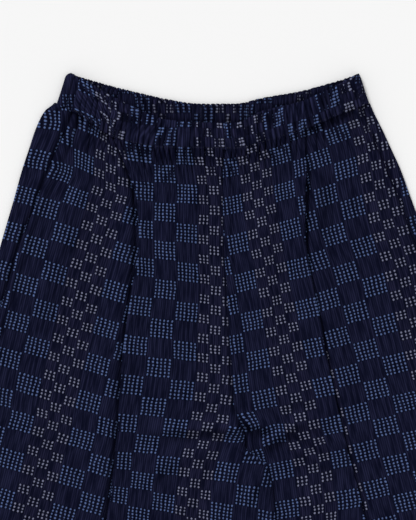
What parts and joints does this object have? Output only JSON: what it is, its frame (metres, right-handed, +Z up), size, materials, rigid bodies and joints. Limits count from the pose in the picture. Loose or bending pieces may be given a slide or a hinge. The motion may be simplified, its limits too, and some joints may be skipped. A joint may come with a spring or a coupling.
{
  "type": "lantern trousers laid flat",
  "caption": "Wide pull-on lantern trousers laid flat, with a gathered waist casing, a deep pleat down each front and gathered hems.",
  "frame": {"origin": "middle of the garment's box, on the surface it lies on", "axes": "+Z up from the surface, +Y from the hems to the waist, +X to the right of a viewer who looks down with the waist at the top"},
  "size_m": [0.745, 0.94, 0.0119],
  "materials": {
    "cloth": "dark navy cotton dobby with a check of small blue and pale lilac floats, matt",
    "waist_casing": "the same cloth folded over elastic and gathered, matt",
    "hem_casing": "the same cloth folded over narrow elastic and gathered, matt"
  },
  "bodies": {
    "root": {"front_left": "cloth", "front_right": "cloth", "back_left": "cloth", "back_right": "cloth", "waistband_front": "waist_casing", "waistband_back": "waist_casing", "hem_left": "hem_casing", "hem_right": "hem_casing"}
  },
  "joints": []
}
